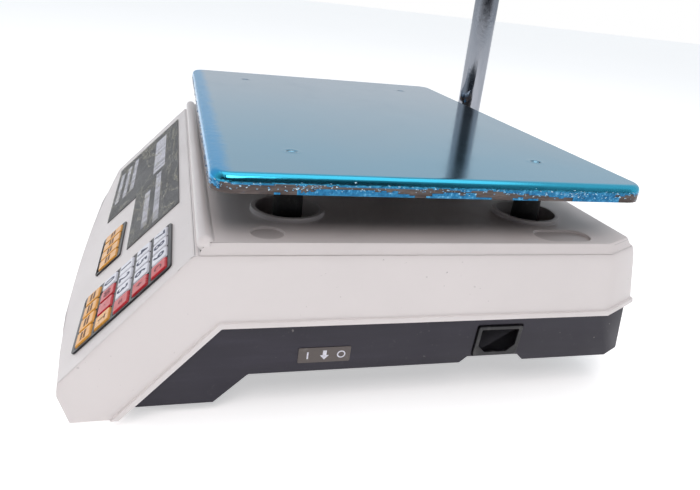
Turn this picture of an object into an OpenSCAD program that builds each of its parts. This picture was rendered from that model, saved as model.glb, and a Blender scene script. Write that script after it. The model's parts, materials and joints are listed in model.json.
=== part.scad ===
// Retail price scale: pan, two-part casing, sloped keypad panel, load cell works and pole display.
// X is the operator's right, Y points to the back, Z is up, and Z = 0 is the underside of the feet.

/* [Casing] */
// Half width of the casing along its top ledge
ledge_half = 174.4; // [160:0.1:190]
// Height of the ledge above the table
ledge_z = 89.5; // [86:0.1:96]
// Height of the weighing deck above the table
deck_z = 95; // [92:0.1:100]
// Half width of the deck
deck_half = 171; // [160:0.1:172]
// Height of the seam between the white cover and the dark base
seam_z = 52.5; // [45:0.1:60]
// Wall thickness of the moulded parts
wall = 2.8; // [2:0.1:4]
// Y of the top edge of the sloped operator panel
panel_top_y = -103.4; // [-110:0.1:-100]
// Slope of the operator panel
panel_angle = 45.7; // [44:0.1:47]
// Y of the back of the ledge
ledge_back_y = 148.2; // [146:0.1:149]
// Y of the middle of the bowed nose
nose_y = -176; // [-178:0.1:-172]
// How far the nose bows forward of its ends
nose_bow = 11; // [6:0.5:14]

/* [Base] */
// Clearance under the front of the base
front_clear = 5; // [5:0.1:8]
// Clearance under the rest of the base
rear_clear = 22; // [18:0.1:24]
// Y where the front block of the base starts to step up
step_y = -92.4; // [-96:0.1:-90]

/* [Pan] */
// Width of the weighing pan
pan_w = 340; // [320:1:344]
// Depth of the weighing pan
pan_d = 235; // [210:1:236]
// Height of the pan's top face
pan_top = 128; // [124:0.1:134]
// Depth of the pan's turned-down rim
rim_h = 9.2; // [8:0.1:12]
// Thickness of the pan's sheet
pan_t = 0.8; // [0.6:0.1:1.2]
// Y of the middle of the pan
pan_y = 20.5; // [19:0.1:22]

/* [Deck openings] */
// X of the four pan posts
post_x = 124.6; // [118:0.1:128]
// Y distance of the posts from the middle of the pan
post_dy = 73.2; // [70:0.1:76]
// Radius of each opening in the deck
opening_r = 17.7; // [15:0.1:18]

/* [Keys] */
// Distance between keys across the panel
key_dx = 13.6; // [13.4:0.1:13.8]
// Distance between keys down the panel
key_ds = 12.6; // [12.4:0.1:12.8]
// How far a key travels
key_travel = 0.8; // [0.3:0.1:0.9]

/* [Pole] */
// X of the pole
pole_x = -129.5; // [-130:0.5:-128]
// Y of the pole
pole_y = 169.2; // [169:0.1:170]
// Radius of the pole
pole_r = 11; // [9:0.5:11]
// Height of the top of the pole
pole_top = 402; // [300:1:420]

/* [Hidden] */
$fn = 48;
KEYPAD = [
    ["key_7", 0, 0, "white"], ["key_8", 1, 0, "white"],
    ["key_9", 2, 0, "white"], ["key_clear", 3, 0, "firebrick"],
    ["key_4", 0, 1, "white"], ["key_5", 1, 1, "white"],
    ["key_6", 2, 1, "white"], ["key_add", 3, 1, "firebrick"],
    ["key_1", 0, 2, "white"], ["key_2", 1, 2, "white"],
    ["key_3", 2, 2, "white"], ["key_total", 3, 2, "firebrick"],
    ["key_0", 0, 3, "white"], ["key_double_zero", 1, 3, "firebrick"],
    ["key_point", 2, 3, "firebrick"], ["key_tare", 3, 3, "orange"],
    ["key_mode", 0, 4, "orange"], ["key_light", 1, 4, "orange"],
    ["key_change", 2, 4, "orange"], ["key_zero", 3, 4, "orange"],
];
MEMORY = [["key_m1", 0], ["key_m2", 1], ["key_m3", 2], ["key_m4", 3]];

// How far the drawing below lies behind the middle of the footprint
seat_shift = 4;
// Casing: outward draft of the side walls, and of the back wall
side_draft = 0.0485;
back_draft = 0.22;
back_seam_y = ledge_back_y + (ledge_z - seam_z) * back_draft;
nose_floor_y = -160;
seam_front_y = -137.3;
seam_bend_y = seam_front_y + seam_z - front_clear;
nose_lip_z = ledge_z - (panel_top_y - nose_y) * tan(panel_angle);
nose_r = (ledge_half * ledge_half + nose_bow * nose_bow) / (2 * nose_bow);
lip = 1.3;
lip_h = 3;
// Base
base_inset = 1.6;
base_draft = 0.1;
base_back_y = 152.9;
floor_z = rear_clear + wall;
front_floor_z = front_clear + wall;
step_end_y = step_y + rear_clear - front_clear;
base_lean = atan(base_draft);
function base_half(z) =
    ledge_half + (ledge_z - seam_z) * side_draft - base_inset - (seam_z - z) * base_draft;
// Corner chamfer of the casing, in plan: where it meets the side at the ledge, and its direction
corner_y = 122;
corner_turn = 28;
corner_lean = 7;
deck_corner_lean = 20;
// Weighing works, bottom to top
plate_z = 28;
plate_t = 3;
cell_z = 36;
cell_h = 22;
spider_z = 63;
spider_t = 6;
cell_half = 65;
cell_half_d = 20;
post_r = 8;
// Round things
collar_r = 20.2;
collar_h = 2.5;
recess_x = 157.5;
round_recess_y = -67.8;
long_recess_y = 98.5;
recess_r = 8.3;
recess_depth = 1.5;
screw_spots = [[158, -53.5], [-158, -53.5], [155, 122], [-155, 122]];
foot_spots = [[-130, -114], [130, -114], [-118, 110], [118, 110]];
foot_bore_r = 4.05;
foot_stem_r = 4;
foot_boss_r = 8;
foot_pad_r = 11;
foot_gap = 0.3;
foot_stem_top = 27;
// Panel stack, measured along the panel's outward normal
bezel_t = 1;
overlay_t = 0.5;
board_n = -8;
board_t = 1.6;
key_top_n = 1.8;
flange_top_n = -0.4;
flange_t = 1.6;
dome_h = 1.5;
// Keypad
keypad_x = 134.8;
keypad_s = 46.6;
key_w = 12.2;
key_h = 10.2;
key_gap = 0.25;
bezel_w = 58;
bezel_h = 66;
keypad_open = [55, 62.8];
// Memory keys
memory_x = 52.8;
memory_s = 66.5;
memory_dx = 13.4;
memory_w = 12;
memory_h = 15;
memory_bezel = [56.6, 20.4];
memory_open = [54, 17.6];
// Display behind the overlay
display_x = -26;
display_s = 29;
display_open = [190, 30];
// Inlet, label and rocker on the right-hand side
inlet_y = 62.8;
inlet_z = 37.3;
inlet_w = 24;
inlet_h = 16.5;
inlet_cut = 4.6;
inlet_flange_w = 27;
inlet_flange_h = 19.4;
inlet_flange_t = 2;
inlet_proud = 1.2;
inlet_depth = 27;
label_y = -36.5;
label_z = 32.8;
rocker_x = 150;
rocker_y = -36.5;
rocker_tilt = 12;
// Battery and its door
battery_box = [47, 100, 46];
battery_corner = [-165, -30, floor_z + 0.5];
door_size = [51, 104];
door_mid = [-141.5, 20];
door_t = 2;
// Pole
socket_r = 13.5;
socket_z = 24;
socket_top = 51.5;
socket_floor = 4;
pole_gap = 0.05;
pin_r = 2.5;
pin_half = 16;
head_w = 99;
head_h = 100;
head_d = 25;
head_z = 416;
head_wall = 2.5;
head_hinge_z = 408.8;
window_w = head_w - 18;
window_h = 78;
window_low = 12;

// Lines of a polygon's edges moved inward, and where neighbouring lines meet
function unit(v) = v / norm(v);
function cross_z(a, b) = a[0] * b[1] - a[1] * b[0];
function moved(p, q, d) = let (u = unit(q - p)) [p + [-u[1], u[0]] * d, u];
function meet(l, m) = l[0] + l[1] * cross_z(m[0] - l[0], m[1]) / cross_z(l[1], m[1]);
function inset(pts, d) = let (n = len(pts)) [
    for (i = [0:n - 1])
        let (h = (i + n - 1) % n, j = (i + 1) % n)
        meet(moved(pts[h], pts[i], d[h]), moved(pts[i], pts[j], d[i]))
];

// A side view drawn as [y, z], extruded across the object between -half and +half
module across(half) {
    translate([-half, 0, 0])
        rotate([90, 0, 90])
            linear_extrude(2 * half)
                children();
}

// A front view drawn as [x, z], extruded along Y
module along_y(y0, y1) {
    translate([0, y1, 0])
        rotate([90, 0, 0])
            linear_extrude(y1 - y0)
                children();
}

// Places children on the operator panel: x along the object, y up the slope, z out of the face
module on_panel(x = 0, s = 0, n = 0) {
    translate([0, panel_top_y, ledge_z])
        rotate([panel_angle, 0, 0])
            translate([x, -s, n])
                children();
}

// Places children on the base's right-hand wall: x along Y, y up the wall, z out of it
module on_wall(y, z) {
    translate([base_half(z), y, z])
        rotate([0, base_lean, 0])
            rotate([90, 0, 90])
                children();
}

module both_sides() {
    children();
    mirror([1, 0, 0])
        children();
}

// A rounded rectangle made of exact arcs and straight lines
module soft_rect(w, d, r) {
    square([w - 2 * r, d], center = true);
    square([w, d - 2 * r], center = true);
    for (x = [-1, 1], y = [-1, 1])
        translate([x * (w / 2 - r), y * (d / 2 - r)])
            circle(r);
}

// Side outline of the white cover, anticlockwise from the front of the seam
cover_side = [
    [seam_front_y, front_clear], [seam_bend_y, seam_z], [back_seam_y, seam_z], [ledge_back_y, ledge_z],
    [panel_top_y, ledge_z], [nose_y, nose_lip_z], [nose_y + 2.5, 9], [nose_y + 8, 6],
    [nose_floor_y, front_clear],
];
// Side outline of the base
base_side = [
    [seam_front_y, front_clear], [step_y, front_clear], [step_end_y, rear_clear],
    [base_back_y, rear_clear], [base_back_y + 1.5, seam_z], [seam_bend_y, seam_z],
];

// Cuts the two drafted rear corners off, t inside the outer skin
module corner_cuts(t, x, y, lean) {
    both_sides()
        translate([x, y, ledge_z])
            rotate([0, 0, corner_turn])
                rotate([0, -lean, 0])
                    translate([-t, -200, -200])
                        cube(400);
}

// The bowed nose as a very large round wall, leaning in near the floor
module nose_wall(t) {
    lean_z = 20;
    lean = 7;
    translate([0, nose_y + nose_r, -1]) {
        cylinder(r1 = nose_r - lean - t, r2 = nose_r - t, h = lean_z + 1, $fn = 900);
        translate([0, 0, lean_z + 1])
            cylinder(r = nose_r - t, h = 100, $fn = 900);
    }
}

// The cover as a solid, t inside its outer skin; a negative t is outside it
module cover_solid(t, open) {
    low = open ? -6 : 0;
    half_low = ledge_half + (ledge_z - front_clear) * side_draft;
    half_top = ledge_half - 20 * side_draft;
    edge = [low, low, t, t, t, t, t, t, t];
    difference() {
        intersection() {
            across(220)
                polygon(inset(cover_side, edge));
            along_y(-220, 220)
                polygon([
                    [-half_low - side_draft * 5 + t, 0], [half_low + side_draft * 5 - t, 0],
                    [half_top - t, ledge_z + 20], [-half_top + t, ledge_z + 20],
                ]);
            nose_wall(t);
        }
        corner_cuts(t, ledge_half, corner_y, corner_lean);
    }
}

module deck_solid() {
    difference() {
        intersection() {
            across(200)
                polygon([
                    [panel_top_y + 2.6, ledge_z - 1], [ledge_back_y - 2.4, ledge_z - 1],
                    [ledge_back_y - 2.8, ledge_z], [ledge_back_y - 7, deck_z], [panel_top_y + 5, deck_z],
                    [panel_top_y + 2.6, ledge_z + 1],
                ]);
            along_y(-200, 200)
                polygon([
                    [-ledge_half + 1, ledge_z - 1], [ledge_half - 1, ledge_z - 1],
                    [deck_half, deck_z], [-deck_half, deck_z],
                ]);
        }
        corner_cuts(0, ledge_half - 1, corner_y, deck_corner_lean);
    }
}

// Room under the raised deck
module deck_cavity() {
    x0 = deck_half - wall - 1;
    y0 = panel_top_y + 8;
    y1 = ledge_back_y - 12;
    translate([0, 0, ledge_z - wall - 1])
        linear_extrude(deck_z - ledge_z + 1)
            polygon([
                [-x0, y0], [x0, y0], [x0, y1 - 16], [x0 - 9, y1], [-x0 + 9, y1], [-x0, y1 - 16],
            ]);
}

module openings(r, h) {
    for (x = [-1, 1], y = [-1, 1])
        translate([x * post_x, pan_y + y * post_dy, 0])
            cylinder(r = r, h = h);
}

module at_spots(spots) {
    for (p = spots)
        translate([p[0], p[1], 0])
            children();
}

module upper_shell() {
    boss_r = 4.5;
    pilot_r = 1.6;
    skirt_z = 84;
    bead_r = 4;
    bead_half = 168;
    color("gainsboro")
        difference() {
            union() {
                difference() {
                    union() {
                        cover_solid(0, false);
                        // Lip that hides the seam
                        intersection() {
                            cover_solid(-lip, false);
                            across(220)
                                polygon([
                                    [seam_front_y, front_clear], [seam_bend_y, seam_z], [200, seam_z],
                                    [200, seam_z + lip_h], [seam_bend_y - 0.4 * lip_h, seam_z + lip_h],
                                    [seam_front_y - 1.4 * lip_h, front_clear],
                                ]);
                        }
                        deck_solid();
                    }
                    cover_solid(wall, true);
                    deck_cavity();
                }
                // Rolled bead in front of the deck
                translate([-bead_half, panel_top_y + 5.3, deck_z - 1])
                    rotate([0, 90, 0])
                        cylinder(r = bead_r, h = 2 * bead_half);
                for (x = [-1, 1])
                    translate([x * bead_half, panel_top_y + 5.3, deck_z - 1])
                        sphere(bead_r);
                // Collars around the post openings, and their skirts below the deck
                openings(collar_r, deck_z + collar_h);
                at_spots(screw_spots)
                    cylinder(r = boss_r, h = deck_z - 1);
            }
            openings(opening_r, deck_z + 20);
            translate([0, 0, -1])
                difference() {
                    openings(collar_r + 1, skirt_z + 1);
                    openings(opening_r - 1, skirt_z + 2);
                }
            translate([0, 0, -1])
                at_spots(screw_spots)
                    cylinder(r = boss_r + 1, h = seam_z + 1.2);
            at_spots(screw_spots)
                cylinder(r = pilot_r, h = 80);
            both_sides() {
                translate([recess_x, round_recess_y, deck_z - recess_depth])
                    cylinder(r = recess_r, h = 10);
                translate([recess_x + 1.5, long_recess_y, deck_z - recess_depth]) {
                    for (y = [-8.5, 8.5])
                        translate([0, y, 0])
                            cylinder(r = recess_r + 0.2, h = 10);
                    translate([-recess_r - 0.2, -8.5, 0])
                        cube([2 * recess_r + 0.4, 17, 10]);
                }
            }
            // Openings in the operator panel
            on_panel(keypad_x, keypad_s, -10)
                translate([-keypad_open[0] / 2, -keypad_open[1] / 2, 0])
                    cube([keypad_open[0], keypad_open[1], 20]);
            on_panel(memory_x, memory_s, -10)
                translate([-memory_open[0] / 2, -memory_open[1] / 2, 0])
                    cube([memory_open[0], memory_open[1], 20]);
            on_panel(display_x, display_s, -10)
                translate([-display_open[0] / 2, -display_open[1] / 2, 0])
                    cube([display_open[0], display_open[1], 20]);
        }
}

// The base as a solid, t inside its outer skin
module base_solid(t, open) {
    low = open ? -6 : 0;
    half_floor = base_half(0);
    half_high = base_half(seam_z + 20);
    edge = [t, t, t, t, low, low];
    difference() {
        intersection() {
            across(220)
                polygon(inset(base_side, edge));
            along_y(-220, 220)
                polygon([
                    [-half_floor + t, 0], [half_floor - t, 0],
                    [half_high - t, seam_z + 20], [-half_high + t, seam_z + 20],
                ]);
        }
        corner_cuts(t, ledge_half - 2.5, corner_y - 1, corner_lean);
    }
}

module lower_base() {
    boss_r = 5.5;
    screw_r = 2.1;
    head_r = 4.2;
    head_seat_z = 44;
    notch_d = 31;
    notch_h = 5.5;
    front_boss_h = 25;
    rear_boss_h = 8;
    rear_feet = [foot_spots[2], foot_spots[3]];
    front_feet = [foot_spots[0], foot_spots[1]];
    color("dimgray")
        difference() {
            union() {
                difference() {
                    base_solid(0, false);
                    base_solid(wall, true);
                }
                // Bosses for the case screws
                translate([0, 0, rear_clear])
                    at_spots(screw_spots)
                        cylinder(r = boss_r, h = seam_z - rear_clear);
                // Bosses for the feet
                translate([0, 0, front_clear])
                    at_spots(front_feet)
                        cylinder(r = foot_boss_r, h = front_boss_h);
                translate([0, 0, rear_clear])
                    at_spots(rear_feet)
                        cylinder(r = foot_boss_r, h = rear_boss_h);
                // Pads under the chassis plate
                for (x = [-75, 75], y = [-33, 33])
                    translate([x, pan_y + y, rear_clear])
                        cylinder(r = 6, h = plate_z - rear_clear);
                // Inner wall of the battery bay
                translate([door_mid[0] + door_size[0] / 2 + 0.6, battery_corner[1] - 2, rear_clear])
                    cube([2, battery_box[1] + 4, 24]);
            }
            translate([0, 0, -1])
                at_spots(screw_spots)
                    cylinder(r = screw_r, h = 100);
            translate([0, 0, -1])
                at_spots(screw_spots)
                    cylinder(r = head_r, h = head_seat_z + 1);
            translate([0, 0, -1])
                at_spots(foot_spots)
                    cylinder(r = foot_bore_r, h = foot_stem_top + 1.5);
            // Battery opening
            translate([door_mid[0], door_mid[1], 0])
                translate([-door_size[0] / 2 - 0.3, -door_size[1] / 2 - 0.3, 0])
                    cube([door_size[0] + 0.6, door_size[1] + 0.6, floor_z + 0.2]);
            // Rocker switch opening
            translate([rocker_x, rocker_y, 0])
                translate([-6.6, -9.7, 0])
                    cube([13.2, 19.4, floor_z + 1]);
            // Mains inlet: a seat for its flange, its opening, and the notch below it
            on_wall(inlet_y, inlet_z) {
                translate([0, 0, inlet_proud - inlet_flange_t])
                    linear_extrude(20)
                        square([inlet_flange_w + 0.3, inlet_flange_h + 0.3], center = true);
                translate([0, 0, -20])
                    linear_extrude(40)
                        square([inlet_w + 1.4, inlet_h + 1.2], center = true);
            }
            translate([166, inlet_y, rear_clear - 1])
                rotate([90, 0, 90])
                    linear_extrude(20)
                        polygon([
                            [-notch_d / 2 - notch_h, 0], [notch_d / 2 + notch_h, 0],
                            [notch_d / 2, notch_h], [-notch_d / 2, notch_h],
                        ]);
        }
}

// Dark sheet on the panel; it steps round the memory keys
module operator_overlay() {
    left = -151;
    right = 82;
    step_x = -15;
    top_s = 8.5;
    step_s = 51;
    low_s = 80;
    color([0.12, 0.12, 0.14])
        on_panel(0, 0, 0)
            linear_extrude(overlay_t)
                polygon([
                    [left, -low_s], [step_x, -low_s], [step_x, -step_s],
                    [right, -step_s], [right, -top_s], [left, -top_s],
                ]);
}

module keypad_bezel() {
    color([0.1, 0.1, 0.11])
        on_panel(keypad_x, keypad_s, 0)
            linear_extrude(bezel_t)
                difference() {
                    soft_rect(bezel_w, bezel_h, 3);
                    for (c = [0:3], r = [0:4])
                        translate([(c - 1.5) * key_dx, (2 - r) * key_ds])
                            square([key_w + 2 * key_gap, key_h + 2 * key_gap], center = true);
                }
}

module memory_bezel() {
    color([0.1, 0.1, 0.11])
        on_panel(memory_x, memory_s, 0)
            linear_extrude(bezel_t)
                difference() {
                    soft_rect(memory_bezel[0], memory_bezel[1], 2);
                    for (c = [0:3])
                        translate([(c - 1.5) * memory_dx, 0])
                            square([memory_w + 2 * key_gap, memory_h + 2 * key_gap], center = true);
                }
}

// One key: a cap in its window, a wider flange behind the bezel and a stem down to its dome
module key_solid(w, h) {
    flange = 0.55;
    stem_r = 2;
    flange_low = flange_top_n - flange_t;
    stem_low = board_n + dome_h + key_travel + 0.2;
    translate([0, 0, flange_low])
        linear_extrude(key_top_n - 0.5 - flange_low)
            soft_rect(w, h, 1);
    translate([0, 0, flange_low])
        linear_extrude(key_top_n - flange_low)
            soft_rect(w - 1, h - 1, 0.8);
    translate([0, 0, flange_low])
        linear_extrude(flange_t)
            square([w + 2 * flange, h + 2 * flange], center = true);
    translate([0, 0, stem_low])
        cylinder(r = stem_r, h = flange_low - stem_low + 0.5);
}

module keypad_key(c, r, shade) {
    color(shade)
        on_panel(keypad_x + (c - 1.5) * key_dx, keypad_s + (r - 2) * key_ds, 0)
            key_solid(key_w, key_h);
}

module memory_key(c) {
    color("orange")
        on_panel(memory_x + (c - 1.5) * memory_dx, memory_s, 0)
            key_solid(memory_w, memory_h);
}

// Circuit board under the keys, with a dome switch per key and four stand-offs
module key_board() {
    dome_r = 3;
    x0 = 22;
    x1 = 165;
    s0 = 10;
    s1 = 80;
    color("seagreen") {
        on_panel(x0, s1, board_n - board_t)
            cube([x1 - x0, s1 - s0, board_t]);
        for (c = [0:3], r = [0:4])
            on_panel(keypad_x + (c - 1.5) * key_dx, keypad_s + (r - 2) * key_ds, board_n)
                cylinder(r = dome_r, h = dome_h);
        for (c = [0:3])
            on_panel(memory_x + (c - 1.5) * memory_dx, memory_s, board_n)
                cylinder(r = dome_r, h = dome_h);
        for (p = [[98, 14], [98, 76], [26, 51], [84, 51]])
            on_panel(p[0], p[1], board_n)
                cylinder(r = 2.5, h = -board_n - wall);
    }
}

// Three liquid crystal cells on their board, behind the overlay
module display_module() {
    cell_w = 56;
    cell_d = 24;
    cell_t = 2.4;
    pitch = 61;
    lap = 3;
    color("darkslategray") {
        on_panel(display_x, display_s, -wall - board_t / 2)
            cube([display_open[0] + 2 * lap, display_open[1] + 2 * lap, board_t], center = true);
        for (i = [-1:1])
            on_panel(display_x + i * pitch - cell_w / 2, display_s + cell_d / 2, -wall)
                cube([cell_w, cell_d, cell_t]);
    }
}

// Printed plate above the power switch
module switch_label() {
    label_w = 28;
    label_h = 9.5;
    color([0.45, 0.4, 0.38])
        on_wall(label_y, label_z)
            linear_extrude(0.4)
                soft_rect(label_w, label_h, 0.8);
}

// Bubble level in the round recess on the operator's left
module spirit_level() {
    color("yellowgreen")
        translate([-recess_x, round_recess_y, deck_z - recess_depth]) {
            cylinder(r = recess_r - 0.2, h = 1.2);
            cylinder(r = recess_r - 1.8, h = 2);
        }
}

module case_screws() {
    color("silver")
        at_spots(screw_spots) {
            difference() {
                translate([0, 0, 40.6])
                    cylinder(r = 3.6, h = 3.4);
                for (a = [0, 90])
                    translate([0, 0, 40])
                        rotate([0, 0, a])
                            cube([4, 0.9, 3.2], center = true);
            }
            translate([0, 0, 43])
                cylinder(r = 1.55, h = 25);
        }
}

module battery_door() {
    color("dimgray")
        translate([door_mid[0], door_mid[1], rear_clear]) {
            difference() {
                linear_extrude(door_t)
                    soft_rect(door_size[0], door_size[1], 2);
                for (y = [-1, 0, 1])
                    translate([-14, 40 + y * 4 - 0.8, -1])
                        cube([28, 1.6, 1.6]);
            }
            // Latch tongues that press against the ends of the opening
            for (y = [-1, 1])
                translate([-6, y * (door_size[1] / 2 - 3) - 1, 0])
                    cube([12, 2, door_t + 1.1]);
        }
}

module rocker_body() {
    color([0.08, 0.08, 0.08])
        translate([rocker_x, rocker_y, rear_clear])
            difference() {
                union() {
                    translate([0, 0, -1.6])
                        linear_extrude(1.6)
                            soft_rect(15, 21, 1);
                    translate([-6.5, -9.6, -0.1])
                        cube([13, 19.2, 15]);
                    for (y = [-6, 0, 6])
                        translate([-3, y - 0.4, 14])
                            cube([6, 0.8, 8]);
                }
                translate([-5, -8, -3])
                    cube([10, 16, 12]);
                translate([-6, 0, 2])
                    rotate([0, 90, 0])
                        cylinder(r = 1.05, h = 12);
            }
}

// Rocker, tipped to its off side, with its two trunnions
module rocker() {
    color([0.1, 0.1, 0.1])
        translate([rocker_x, rocker_y, rear_clear + 2])
            rotate([-rocker_tilt, 0, 0]) {
                rotate([90, 0, 90])
                    translate([0, 0, -4.7])
                        linear_extrude(9.4)
                            polygon([[-6.6, -5], [0, -3.2], [6.6, -5], [6, 1], [2, 4], [-2, 4], [-6, 1]]);
                translate([-5.8, 0, 0])
                    rotate([0, 90, 0])
                        cylinder(r = 1, h = 11.6);
            }
}

// Outline of a slab with its two upper corners rounded, from -w / 2 to w / 2 and 0 to h
module crowned_outline(w, h, edge) {
    translate([-w / 2 + edge, 0])
        square([w - 2 * edge, h]);
    translate([-w / 2, 0])
        square([w, h - edge]);
    for (x = [-1, 1])
        translate([x * (w / 2 - edge), h - edge])
            circle(edge);
}

// A shallow tray turned upside down: rounded corners in plan and a rounded top edge, exact arcs only
module tray_solid(w, d, top, h, corner, edge) {
    cw = w / 2 - corner;
    cd = d / 2 - corner;
    translate([0, pan_y, top - h]) {
        across(cw)
            crowned_outline(d, h, edge);
        along_y(-cd, cd)
            crowned_outline(w, h, edge);
        for (x = [-1, 1], y = [-1, 1])
            translate([x * cw, y * cd, 0])
                rotate_extrude()
                    intersection() {
                        crowned_outline(2 * corner, h, edge);
                        square([2 * corner, h]);
                    }
    }
}

module pan() {
    corner = 11;
    edge = 3.5;
    dimple_r = 5;
    color("lightsteelblue")
        difference() {
            union() {
                difference() {
                    tray_solid(pan_w, pan_d, pan_top, rim_h, corner, edge);
                    translate([0, 0, -0.01])
                        tray_solid(
                            pan_w - 2 * pan_t, pan_d - 2 * pan_t,
                            pan_top - pan_t, rim_h, corner - pan_t, edge - pan_t
                        );
                }
                translate([0, 0, pan_top - pan_t - 1])
                    openings(dimple_r - 1.5, 1.2);
            }
            translate([0, 0, pan_top - 1])
                openings(dimple_r - 2.4, 4);
        }
}

// Clear blue film left on the pan's top face
module pan_film() {
    film_t = 0.15;
    color([0.2, 0.6, 0.85])
        translate([0, pan_y, pan_top])
            linear_extrude(film_t)
                difference() {
                    soft_rect(pan_w - 7, pan_d - 7, 7.5);
                    for (x = [-1, 1], y = [-1, 1])
                        translate([x * post_x, y * post_dy])
                            circle(2.8);
                }
}

// Rubber posts that carry the pan, each with a cup for the pan's dimple
module pan_posts() {
    post_top = pan_top - pan_t - 0.3;
    color([0.1, 0.1, 0.1])
        difference() {
            union() {
                translate([0, 0, spider_z + spider_t])
                    openings(post_r, post_top - spider_z - spider_t);
                translate([0, 0, spider_z + spider_t])
                    openings(post_r + 2, 8);
            }
            translate([0, 0, post_top - 2])
                openings(4.2, 4);
        }
}

// Cast cross that joins the load cell's free end to the four posts
module spider() {
    arm_w = 14;
    arm_l = norm([post_x, post_dy]);
    arm_a = atan(post_dy / post_x);
    color("darkgray")
        difference() {
            translate([0, pan_y, spider_z]) {
                linear_extrude(spider_t) {
                    for (x = [0, 180], a = [-1, 1])
                        rotate([0, 0, x + a * arm_a])
                            translate([0, -arm_w / 2])
                                square([arm_l, arm_w]);
                    for (x = [-1, 1], y = [-1, 1])
                        translate([x * post_x, y * post_dy])
                            circle(12);
                    translate([-22, -22])
                        square([88, 44]);
                }
            }
            cell_bolt_holes(35, 65, 3.2, 0, 200);
        }
}

module cell_bolt_holes(x0, x1, r, z, h) {
    for (x = [x0 + 7, x1 - 7], y = [-12, 12])
        translate([x, pan_y + y, z])
            cylinder(r = r, h = h);
}

// Single-point load cell: a bar with a dumbbell opening through it
module load_cell() {
    hole_r = 7;
    hole_dx = 16;
    color("silver")
        difference() {
            translate([-cell_half, pan_y - cell_half_d, cell_z])
                cube([2 * cell_half, 2 * cell_half_d, cell_h]);
            for (x = [-hole_dx, hole_dx])
                translate([x, pan_y - 30, cell_z + cell_h / 2])
                    rotate([-90, 0, 0])
                        cylinder(r = hole_r, h = 60);
            translate([-hole_dx, pan_y - 30, cell_z + cell_h / 2 - 3])
                cube([2 * hole_dx, 60, 6]);
            cell_bolt_holes(35, 65, 2.5, cell_z + 8, 40);
            cell_bolt_holes(-65, -35, 2.5, 0, cell_z + 14);
        }
}

module load_cell_blocks() {
    color("gray") {
        difference() {
            translate([35, pan_y - cell_half_d, cell_z + cell_h])
                cube([30, 2 * cell_half_d, spider_z - cell_z - cell_h]);
            cell_bolt_holes(35, 65, 3.2, 0, 100);
        }
        difference() {
            translate([-65, pan_y - cell_half_d, plate_z + plate_t])
                cube([30, 2 * cell_half_d, cell_z - plate_z - plate_t]);
            cell_bolt_holes(-65, -35, 3.2, 0, 100);
        }
    }
}

module load_cell_bolts() {
    bolt_r = 2.5;
    head_r = 4.5;
    head_h = 4;
    color("dimgray") {
        cell_bolt_holes(35, 65, head_r, spider_z + spider_t, head_h);
        cell_bolt_holes(35, 65, bolt_r, cell_z + 9, spider_z + spider_t - cell_z - 9);
        cell_bolt_holes(-65, -35, head_r, plate_z - 2.8, 2.8);
        cell_bolt_holes(-65, -35, bolt_r, plate_z, cell_z + 12 - plate_z);
    }
}

module chassis_plate() {
    half_w = 85;
    half_d = 44;
    stop_r = 4;
    stop_gap = 0.6;
    color("slategray")
        difference() {
            union() {
                translate([0, pan_y, plate_z])
                    linear_extrude(plate_t)
                        soft_rect(2 * half_w, 2 * half_d, 6);
                // Overload stops under the spider's hub
                for (y = [-34, 34])
                    translate([50, pan_y + y, plate_z])
                        cylinder(r = stop_r, h = spider_z - plate_z - stop_gap);
            }
            cell_bolt_holes(-65, -35, 3.2, 0, 100);
        }
}

module transformer() {
    color("saddlebrown") {
        translate([-33, 88, floor_z])
            cube([66, 22, 44]);
        translate([-33, 116, floor_z])
            cube([66, 22, 44]);
        translate([-22, 88, floor_z + 8])
            cube([44, 50, 28]);
    }
}

module battery() {
    color("darkslategray")
        translate(battery_corner) {
            cube(battery_box);
            for (x = [8, 32])
                translate([x, 4, battery_box[2]])
                    cube([6, 5, 3]);
        }
}

module main_board() {
    x0 = -100;
    color("seagreen") {
        translate([x0, -132, 16])
            cube([160, 34, 1.6]);
        for (x = [x0 + 20, x0 + 60, x0 + 100])
            translate([x, -126, 17.6])
                cube([24, 16, 4]);
        for (x = [x0 + 6, x0 + 154], y = [-128, -102])
            translate([x, y, front_floor_z])
                cylinder(r = 2.5, h = 16 - front_floor_z);
    }
}

// Outline of the mains inlet's opening: a rectangle with its two lower corners cut
module inlet_outline(grow) {
    w = inlet_w / 2 + grow;
    h = inlet_h / 2 + grow;
    c = inlet_cut;
    polygon([[-w + c, -h], [w - c, -h], [w, -h + c], [w, h], [-w, h], [-w, -h + c]]);
}

module inlet_body() {
    socket_depth = 16;
    color([0.09, 0.09, 0.1])
        on_wall(inlet_y, inlet_z)
            translate([0, 0, inlet_proud])
                difference() {
                    union() {
                        translate([0, 0, -inlet_flange_t])
                            linear_extrude(inlet_flange_t)
                                soft_rect(inlet_flange_w, inlet_flange_h, 1.5);
                        translate([-inlet_w / 2 - 0.4, -inlet_h / 2 - 0.3, -inlet_depth])
                            cube([inlet_w + 0.8, inlet_h + 0.6, inlet_depth - 1]);
                    }
                    translate([0, 0, -socket_depth])
                        linear_extrude(socket_depth + 1)
                            inlet_outline(-0.7);
                }
}

module inlet_pins() {
    color("silver")
        on_wall(inlet_y, inlet_z)
            for (p = [[-7, 2], [7, 2], [0, -2]])
                translate([p[0] - 1, p[1] - 2, inlet_proud - 16])
                    cube([2, 4, 13]);
}

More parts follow.
